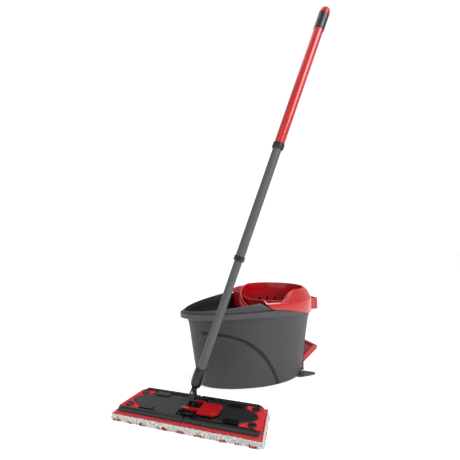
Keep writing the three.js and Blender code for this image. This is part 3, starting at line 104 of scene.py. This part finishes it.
class Term:
    """A number or colour on its way through a finish; sums on it add the nodes that do them."""

    def __init__(self, finish, socket):
        self.finish = finish
        self.socket = socket

    def reckon(self, operation, *values):
        made = self.finish.node("Math", {"operation": operation}, dict(enumerate(values)))
        return Term(self.finish, made.outputs[0])

    def __add__(self, other):
        return self.reckon("ADD", self, other)

    def __sub__(self, other):
        return self.reckon("SUBTRACT", self, other)

    def __rsub__(self, other):
        return self.reckon("SUBTRACT", other, self)

    def __mul__(self, other):
        return self.reckon("MULTIPLY", self, other)

    def __truediv__(self, other):
        return self.reckon("DIVIDE", self, other)

    def __pow__(self, other):
        return self.reckon("POWER", self, other)

    def wave(self):
        return self.reckon("SINE", self)

    def step(self, low, high):
        """0 below low and 1 above high, turning smoothly between them."""
        settings = {"interpolation_type": "SMOOTHSTEP"}
        sockets = {"Value": self, "From Min": low, "From Max": high}
        made = self.finish.node("MapRange", settings, sockets)
        return Term(self.finish, made.outputs[0])

    __radd__ = __add__
    __rmul__ = __mul__


class Finish:
    """One surface finish, built node by node on a Principled shader."""

    def __init__(self, name, **constants):
        self.material = bpy.data.materials.new(name)
        self.material.use_nodes = True
        self.tree = self.material.node_tree
        self.shader = self.tree.nodes["Principled BSDF"]
        for socket, value in constants.items():
            self.shader.inputs[socket.replace("_", " ")].default_value = value
        self.place = Term(self, self.node("TexCoord").outputs["Object"])

    def node(self, kind, settings=None, sockets=None):
        made = self.tree.nodes.new("ShaderNode" + kind)
        for key, value in (settings or {}).items():
            if key == "stops":
                for stop, (at, colour) in zip(made.color_ramp.elements, value):
                    stop.position = at
                    stop.color = (*colour, 1)
            else:
                setattr(made, key, value)
        for key, value in (sockets or {}).items():
            self.feed(made.inputs[key], value)
        return made

    def feed(self, socket, value):
        if isinstance(value, Term):
            self.tree.links.new(value.socket, socket)
        elif socket.type == "RGBA":
            socket.default_value = (*value[:3], 1)
        else:
            socket.default_value = value

    def along(self, axis):
        made = self.node("SeparateXYZ", None, {0: self.place})
        return Term(self, made.outputs[axis])

    def speckle(self, size, detail=2, rough=0.5):
        """Soft noise from 0 to 1 with blotches of about this size, in metres."""
        sockets = {"Vector": self.place, "Scale": 1 / size, "Detail": detail, "Roughness": rough}
        return Term(self, self.node("TexNoise", None, sockets).outputs[0])

    def cells(self, size):
        sockets = {"Vector": self.place, "Scale": 1 / size}
        return Term(self, self.node("TexVoronoi", None, sockets).outputs["Distance"])

    def blend(self, share, one, other):
        made = self.node("Mix", {"data_type": "RGBA"}, {0: share, 6: one, 7: other})
        return Term(self, made.outputs[2])

    def hollowness(self, reach):
        """Near 0 deep in a groove or corner and 1 in the open."""
        made = self.node("AmbientOcclusion", {"samples": 8}, {"Distance": reach})
        return Term(self, made.outputs["AO"])

    def facing_in(self, middle_x):
        """Negative where the surface faces away from the line at middle_x, positive towards it."""
        facing = Term(self, self.node("NewGeometry").outputs["Normal"])
        normal = self.node("SeparateXYZ", None, {0: facing})
        across, along = (Term(self, normal.outputs[i]) for i in (0, 1))
        return (middle_x - self.along("X")) * across - self.along("Y") * along

    def wear(self, colour, rough, height=None, depth=0.0001):
        self.feed(self.shader.inputs["Base Color"], colour)
        self.feed(self.shader.inputs["Roughness"], rough)
        if height is not None:
            bump = self.node("Bump", None, {"Height": height, "Distance": depth, "Strength": 1.0})
            self.tree.links.new(bump.outputs[0], self.shader.inputs["Normal"])
        return self


def linear(red, green, blue):
    """A colour as a screen names it, in 0 to 255, as light."""
    return tuple(((c / 255 + 0.055) / 1.055) ** 2.4 if c > 10 else c / 3294.6 for c in (red, green, blue))


paper = Finish("studio_paper", Emission_Color=(1, 1, 1, 1), Emission_Strength=0.42, Specular_IOR_Level=0.0)
paper.wear(paper.blend(paper.speckle(0.4), (0.93, 0.93, 0.93), (0.95, 0.95, 0.95)), 0.9)
sheet = bpy.data.meshes.new("floor")
r = FLOOR_REACH
sheet.from_pydata([(-r, -r, 0), (r, -r, 0), (r, r, 0), (-r, r, 0)], [], [(0, 1, 2, 3)])
sheet.materials.append(paper.material)
floor = bpy.data.objects.new("floor", sheet)
bpy.context.scene.collection.objects.link(floor)

# ---------------------------------------------------------------------------------------------
# Bucket
# One injection moulding in dark grey polypropylene with a fine spark-eroded grain. The rolled
# rim band is smoother and has a painted highlight, a lighter grey; the inward-facing walls, the crevices and the swept
# groove have painted shade.
# ---------------------------------------------------------------------------------------------

BUCKET_GREY = linear(62, 61, 64)
BUCKET_DARK = linear(56, 55, 58)
# The rim band's lighter grey is a painted highlight on the same plastic.
RIM_PAINTED_HIGHLIGHT_GREY = linear(66, 66, 70)
# Painted shade for the walls facing into the bucket and for its crevices.
INSIDE_PAINTED_SHADE_GREY = linear(28, 28, 31)
BAND_AT = 0.214
BUCKET_MIDDLE_X = -0.085
GRAIN = 0.0007


def dress(names, finish, edge=0.0005, crease=32):
    """Gives CAD nodes their finish, rounds their edges a little and lets the light run smoothly."""
    for name in names:
        piece = nodes[name]
        piece.data.materials.clear()
        piece.data.materials.append(finish.material)
        if "custom_normal" in piece.data.attributes:
            piece.data.attributes.remove(piece.data.attributes["custom_normal"])
        piece.data.shade_smooth()
        weld = piece.modifiers.new("weld", "WELD")
        weld.merge_threshold = 0.00002
        if edge:
            flat = piece.modifiers.new("flat", "DECIMATE")
            flat.decimate_type = "DISSOLVE"
            flat.angle_limit = math.radians(1)
            round_off = piece.modifiers.new("round_off", "BEVEL")
            round_off.width = edge
            round_off.segments = 2
            round_off.limit_method = "ANGLE"
            round_off.angle_limit = math.radians(crease)
            round_off.use_clamp_overlap = True
            even = piece.modifiers.new("even", "WEIGHTED_NORMAL")
            even.keep_sharp = False
        else:
            split = piece.modifiers.new("split", "EDGE_SPLIT")
            split.split_angle = math.radians(crease)


bucket_plastic = Finish("bucket_plastic", Specular_IOR_Level=0.35)
height = bucket_plastic.along("Z")
band = height.step(BAND_AT - 0.004, BAND_AT)
blotch = bucket_plastic.speckle(0.06)
grain = bucket_plastic.speckle(GRAIN, 1)
body_grey = bucket_plastic.blend(blotch, BUCKET_DARK, BUCKET_GREY)
# Walls facing into the bucket are blended to the inside grey: painted shade.
inside = bucket_plastic.facing_in(BUCKET_MIDDLE_X).step(0.005, 0.03)
# Above the band line the grey turns lighter as a painted highlight; the band's lower roughness is real.
outside_grey = bucket_plastic.blend(band, body_grey, RIM_PAINTED_HIGHLIGHT_GREY)
# Ambient occlusion darkens crevices and corners towards the inside grey: painted shade.
crevice_painted_shade = 1 - bucket_plastic.hollowness(0.008).step(0.45, 0.98)
outside_grey = bucket_plastic.blend(crevice_painted_shade * 0.75, outside_grey, INSIDE_PAINTED_SHADE_GREY)
bucket_plastic.wear(
    bucket_plastic.blend(inside, outside_grey, INSIDE_PAINTED_SHADE_GREY),
    0.52 - band * 0.18 + blotch * 0.08,
    grain,
    0.00006,
)
dress(["bucket_shell"], bucket_plastic, edge=0)

WALL_FOOT = (0.178, 0.097, -0.079)  # half length, half width and middle of the wall at the floor
WALL_HEAD = (0.210, 0.1275, -0.0815)  # and under the rim band
EGG_FATNESS = 0.11
GROOVE_SHALLOWEST = 0.0008
GROOVE_DEEPEST = 0.0026
GROOVE_TOP = 0.178
GROOVE_END_X = -0.262


def depth_under_wall(spot):
    """How far inside the wall's outer face a point lies, in metres."""
    up = spot.z / BAND_AT
    half_length, half_width, middle = (low + (high - low) * up for low, high in zip(WALL_FOOT, WALL_HEAD))
    along = max(-1, min(1, (spot.x - middle) / half_length))
    return half_width * (1 + EGG_FATNESS * along) * math.sqrt(1 - along * along) - abs(spot.y)


# The swept groove gets a darker grey of its own: painted shade in the groove, over real grain.
groove_painted_shade = Finish("groove_painted_shade", Specular_IOR_Level=0.3)
blotch = groove_painted_shade.speckle(0.02)
groove_painted_shade.wear(
    groove_painted_shade.blend(blotch, linear(26, 26, 28), linear(34, 34, 36)),
    0.6 + blotch * 0.08,
    groove_painted_shade.speckle(GRAIN, 1),
    0.00006,
)
shell = nodes["bucket_shell"].data
shell.materials.append(groove_painted_shade.material)
# Faces sunk into the groove take the painted-shade material.
for face in shell.polygons:
    outward = face.normal.y * face.center.y > 0
    sunk = GROOVE_SHALLOWEST < depth_under_wall(face.center) < GROOVE_DEEPEST
    if outward and sunk and 0.004 < face.center.z < GROOVE_TOP and face.center.x > GROOVE_END_X:
        face.material_index = 1

# ---------------------------------------------------------------------------------------------
# Base cover, screws and feet
# A flat dark moulding with a tongue for the heel, held up by four screws, on rubber feet.
# ---------------------------------------------------------------------------------------------

COVER_DARK = linear(52, 55, 66)
COVER_LIGHT = linear(66, 70, 82)
SCREW_GREY = linear(186, 186, 190)
RUBBER_DARK = linear(34, 34, 34)

cover_plastic = Finish("cover_plastic")
blotch = cover_plastic.speckle(0.03)
cover_plastic.wear(
    cover_plastic.blend(blotch, COVER_DARK, COVER_LIGHT), 0.42 + blotch * 0.1, cover_plastic.speckle(GRAIN, 1), 0.00005)
dress(["base_cover"], cover_plastic)

bright_steel = Finish("bright_steel", Metallic=1.0)
brushing = bright_steel.speckle(0.0012, 3)
bright_steel.wear(
    bright_steel.blend(brushing, linear(150, 150, 153), SCREW_GREY), 0.25 + brushing * 0.2, brushing, 0.00002)
steel_nodes = [s["node"] for s in frame["record"]["subparts"] if s["material_slot"] == "steel"]
dress(steel_nodes, bright_steel, edge=0)

foot_rubber = Finish("foot_rubber")
dust = foot_rubber.speckle(0.004)
foot_rubber.wear(foot_rubber.blend(dust, RUBBER_DARK, linear(52, 52, 52)), 0.8 + dust * 0.15, dust, 0.0001)
dress([f"rubber_foot_{i}" for i in (1, 2, 3, 4)], foot_rubber, edge=0)

# ---------------------------------------------------------------------------------------------
# Drive
# Nylon gears, rack and bushes under the raised floor, out of sight in use.
# ---------------------------------------------------------------------------------------------

nylon = Finish("nylon", Subsurface_Weight=0.1)
cloud = nylon.speckle(0.008)
nylon.wear(nylon.blend(cloud, linear(214, 213, 206), linear(232, 231, 226)), 0.4 + cloud * 0.15, cloud, 0.00003)
dress(["drive_rack", "step_up_gear", "clutch_gear", "lower_bush", "upper_bush"], nylon, edge=0)

# ---------------------------------------------------------------------------------------------
# Red mouldings
# Hood, pedal, release lever, grip and end cap are one glossy red, and the basket the same
# plastic a little deeper in colour.
# ---------------------------------------------------------------------------------------------

RED = linear(184, 7, 15)
RED_DEEP = linear(164, 4, 11)
BASKET_RED = linear(170, 14, 26)


def glossy(name, low, high, rough, grain_size=0.0009, depth=0.00002, coat=0.4):
    finish = Finish(name, Specular_IOR_Level=0.45, Coat_Weight=coat, Coat_Roughness=0.06)
    drift = finish.speckle(0.05)
    orange_peel = finish.speckle(grain_size, 1)
    finish.wear(finish.blend(drift, low, high), rough + drift * 0.08, orange_peel, depth)
    return finish


red_gloss = glossy("red_gloss", RED_DEEP, RED, 0.24)
dress(["foot_pedal", "release_lever"], red_gloss, edge=0.0006)
dress(["splash_guard", "upper_tube", "end_cap"], red_gloss, edge=0)
basket_red = glossy("basket_red", linear(140, 10, 20), BASKET_RED, 0.32)
dress(["spin_basket"], basket_red, edge=0)

# ---------------------------------------------------------------------------------------------
# Black mouldings
# Joint, socket, collars and grip band in hard black plastic with a soft shine; the carry handle in a dark grey plastic.
# ---------------------------------------------------------------------------------------------

black_gloss = glossy("black_gloss", linear(8, 8, 9), linear(14, 14, 15), 0.3, 0.0006, 0.00004, 0.05)
black_nodes = [s["node"] for s in frame["record"]["subparts"] if s["material_slot"] == "black_plastic"]
dress([name for name in black_nodes if name != "carry_handle"], black_gloss, edge=0.0004)
handle_grey = glossy("handle_grey", linear(56, 56, 59), linear(66, 66, 70), 0.34, 0.0006, 0.00004, 0.1)
dress(["carry_handle"], handle_grey, edge=0.0006)
dress(["hub_cap", "socket_clip"], black_gloss, edge=0)

# ---------------------------------------------------------------------------------------------
# Handle tubes
# Rolled steel tubes with a grey speckled stove enamel.
# ---------------------------------------------------------------------------------------------

ENAMEL = linear(70, 71, 72)
tube_enamel = Finish("tube_enamel", Metallic=0.15)
fleck = tube_enamel.cells(0.0016).step(0.25, 0.6)
tube_enamel.wear(tube_enamel.blend(fleck, linear(90, 91, 92), ENAMEL), 0.42 + fleck * 0.12, fleck, 0.00004)
dress(["lower_tube", "middle_tube"], tube_enamel, edge=0)

# ---------------------------------------------------------------------------------------------
# Mop plates
# Two ribbed charcoal plates, satin, hinged to the hub.
# ---------------------------------------------------------------------------------------------

RAIL_FROM = 0.0268  # above the plates' raised middle

plate_plastic = Finish("plate_plastic", Specular_IOR_Level=0.4)
pores = plate_plastic.speckle(0.0016, 2)
cloud = plate_plastic.speckle(0.03)
on_rail = plate_plastic.along("Z").step(RAIL_FROM - 0.0006, RAIL_FROM)
plate_black = plate_plastic.blend(cloud, linear(26, 27, 28), linear(38, 39, 40))
plate_plastic.wear(
    plate_plastic.blend(on_rail, plate_black, linear(12, 12, 13)), 0.4 - on_rail * 0.2 + pores * 0.1, pores, 0.0001)
dress(["left_wing", "right_wing"], plate_plastic, edge=0.0006)

# ---------------------------------------------------------------------------------------------
# Corner pockets
# Red knitted pockets sewn to the pad, buttoned down over the plate's corners.
# ---------------------------------------------------------------------------------------------

knit = Finish("knit")
rows = (knit.along("X") * 2600).wave() * (knit.along("Y") * 2600).wave()
knit.wear(knit.blend(rows * 0.5 + 0.5, linear(196, 20, 30), linear(226, 34, 42)), 0.9, rows, 0.0003)
dress([f"corner_flap_{i}" for i in (1, 2, 3, 4)], knit, edge=0.0003)

# ---------------------------------------------------------------------------------------------
# Pads
# A thick looped microfibre pad lies under each half of the head: a red felted backing that
# shows as a ragged band round the plate, and a deep fringe of white loops down to the floor,
# with a few dark red loops in its lowest row.
# ---------------------------------------------------------------------------------------------

PAD_FRONT = 0.184  # half length along the front edge, and less along the back edge
PAD_BACK = 0.174
PAD_HALF_DEPTH = 0.0625
PAD_UNDERSIDE = 0.0012
PAD_TOP = 0.0178
PAD_EDGE_HEIGHT = 0.0138  # where the red backing meets the white pile at the rim
BACKING_SLOPE = 0.011
FRINGE_OUT = 0.0056
LOOP_PITCH = 0.0021
YARN = 0.0010

tilt = next(j for j in frame["record"]["behaviour"]["joints"] if j["name"] == "handle_tilt")
along_head = Vector(tilt["axis"]).normalized()
mop_place = Matrix.Identity(4)
mop_place.col[0][:3] = along_head
mop_place.col[1][:3] = Vector((0, 0, 1)).cross(along_head)
mop_place.col[3][:3] = (tilt["pos_m"][0], tilt["pos_m"][1], 0)

backing = Finish("backing", Sheen_Weight=0.3)
nap = backing.speckle(0.0012, 3)
backing.wear(
    backing.blend(nap, linear(168, 8, 18), linear(214, 20, 34)), 0.92, nap, 0.0009)
pile = Finish("pile", Sheen_Weight=0.25)
nap = pile.speckle(0.0011, 3)
pile.wear(pile.blend(nap, linear(212, 210, 204), linear(244, 243, 239)), 0.95, nap, 0.0007)
stripe = Finish("stripe", Sheen_Weight=0.25)
nap = stripe.speckle(0.0011, 3)
stripe.wear(stripe.blend(nap, linear(140, 10, 20), linear(184, 22, 34)), 0.95, nap, 0.0007)


def end_of_pad(y):
    return PAD_FRONT + (PAD_BACK - PAD_FRONT) * (y + PAD_HALF_DEPTH) / (2 * PAD_HALF_DEPTH)


def crowded(count, share):
    """Numbers from 0 to 1 that lie closer together towards 1."""
    return [math.sin(math.pi / 2 * i / count) * share + i / count * (1 - share) for i in range(count + 1)]


def pad_body(name, side):
    """The pad's body: a flat cushion, thin at the edge, with its red backing on the upper side."""
    mesh = bmesh.new()
    steps_x = crowded(40, 0.55)
    half = crowded(14, 0.6)
    steps_y = [-v for v in reversed(half[1:])] + half

    def spot(u, v, upper):
        y = v * PAD_HALF_DEPTH
        reach = end_of_pad(y)
        x = u * reach
        inland = min(reach - x, PAD_HALF_DEPTH - abs(y))
        if upper:
            rise = 1 - max(0, 1 - inland / BACKING_SLOPE) ** 2
            z = PAD_EDGE_HEIGHT + (PAD_TOP - PAD_EDGE_HEIGHT) * rise
        else:
            fall = math.sqrt(1 - max(0, 1 - inland / 0.005) ** 2)
            z = PAD_EDGE_HEIGHT + (PAD_UNDERSIDE - PAD_EDGE_HEIGHT) * fall
        return mop_place @ Vector((side * x, y, z))

    def sheet_of(upper):
        rows = [[mesh.verts.new(spot(u, v, upper)) for v in steps_y] for u in steps_x]
        for low, high in zip(rows, rows[1:]):
            for a, b, c, d in zip(low, low[1:], high[1:], high):
                mesh.faces.new((a, b, c, d)).material_index = 0 if upper else 1
        return rows

    upper = sheet_of(True)
    lower = sheet_of(False)
    for a, b, c, d in zip(upper[0], upper[0][1:], lower[0][1:], lower[0]):
        mesh.faces.new((a, b, c, d)).material_index = 1
    bmesh.ops.remove_doubles(mesh, verts=mesh.verts, dist=0.00003)
    bmesh.ops.recalc_face_normals(mesh, faces=mesh.faces)
    made = finished(name, mesh, (backing, pile))
    return made


def finished(name, mesh, finishes):
    data = bpy.data.meshes.new(name)
    mesh.to_mesh(data)
    mesh.free()
    data.shade_smooth()
    for finish in finishes:
        data.materials.append(finish.material)
    made = bpy.data.objects.new(name, data)
    bpy.context.scene.collection.objects.link(made)
    return made


def round_the_edge(side, pitch):
    """Points along the pad's outer edge from the front middle to the back middle, with the way out."""
    corners = [
        Vector((0, -PAD_HALF_DEPTH, 0)), Vector((PAD_FRONT, -PAD_HALF_DEPTH, 0)),
        Vector((PAD_BACK, PAD_HALF_DEPTH, 0)), Vector((0, PAD_HALF_DEPTH, 0)),
    ]
    for start, end in zip(corners, corners[1:]):
        run = (end - start).length
        way = (end - start).normalized()
        out = Vector((way.y, -way.x, 0))
        for i in range(int(run / pitch)):
            at = start + way * pitch * i
            yield Vector((side * at.x, at.y, 0)), Vector((side * out.x, out.y, 0)), Vector((side * way.x, way.y, 0))


def bent_yarn(mesh, points, radius, material):
    """A five-sided tube along a few points, closed at both ends."""
    rings = []
    for i, point in enumerate(points):
        way = (points[min(i + 1, len(points) - 1)] - points[max(i - 1, 0)]).normalized()
        side_way = way.orthogonal().normalized()
        other = way.cross(side_way)
        ring = []
        for k in range(5):
            turn = 2 * math.pi * k / 5
            offset = side_way * math.cos(turn) + other * math.sin(turn)
            ring.append(mesh.verts.new(mop_place @ (point + offset * radius)))
        rings.append(ring)
    for low, high in zip(rings, rings[1:]):
        for k in range(5):
            face = mesh.faces.new((low[k], low[(k + 1) % 5], high[(k + 1) % 5], high[k]))
            face.material_index = material
    mesh.faces.new(rings[0][::-1]).material_index = material
    mesh.faces.new(rings[-1]).material_index = material


def fringe(name, side, seed):
    """The loops round one half of the pad: short red ones on the backing's edge over rows of white."""
    pick = random.Random(seed)
    mesh = bmesh.new()
    for at, out, way in round_the_edge(side, LOOP_PITCH * 0.8):
        high = Vector((0, 0, PAD_EDGE_HEIGHT + pick.uniform(0.0006, 0.0022)))
        base = at + high + way * pick.uniform(-0.001, 0.001)
        tip = out * pick.uniform(0.0005, 0.0022)
        lean = way * pick.uniform(-0.0012, 0.0012)
        drop = Vector((0, 0, pick.uniform(0.0004, 0.0022)))
        points = [base - out * 0.002, base + tip, base + tip * 0.6 + lean - drop, base - out * 0.001 + lean - drop]
        bent_yarn(mesh, points, 0.0008, 0)
    for row, height in enumerate((0.0138, 0.0112, 0.0086, 0.006)):
        travelled = 0
        for at, out, way in round_the_edge(side, LOOP_PITCH):
            travelled += LOOP_PITCH
            drop = 0.0062 + pick.uniform(-0.0008, 0.0006)
            reach = FRINGE_OUT * (0.72 + 0.08 * row) * pick.uniform(0.5, 1.25)
            slide = way * pick.uniform(-0.0018, 0.0018)
            base = at + Vector((0, 0, height + pick.uniform(-0.0006, 0.0006)))
            points = [
                base - out * 0.002,
                base + out * reach * 0.8 - Vector((0, 0, drop * 0.12)),
                base + out * reach + slide * 0.5 - Vector((0, 0, drop * 0.5)),
                base + out * reach * 0.7 + slide - Vector((0, 0, drop * 0.9)),
                base - out * 0.001 + slide - Vector((0, 0, drop * 0.8)),
            ]
            for point in points:
                point.z = max(point.z, YARN * 1.15)
            in_stripe = row == 3 and math.sin(travelled / 0.0066 + 1.2 * math.sin(travelled / 0.021)) > 0.15
            bent_yarn(mesh, points, YARN * pick.uniform(0.85, 1.15), 2 if in_stripe else 1)
    return finished(name, mesh, (backing, pile, stripe))


for side, half in ((1, "right"), (-1, "left")):
    body = pad_body(f"pad_cloth_{half}", side)
    loops = fringe(f"pad_fringe_{half}", side, 7 + side)
    for piece in (body, loops):
        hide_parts(f"pad_{half}")
        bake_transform(piece)
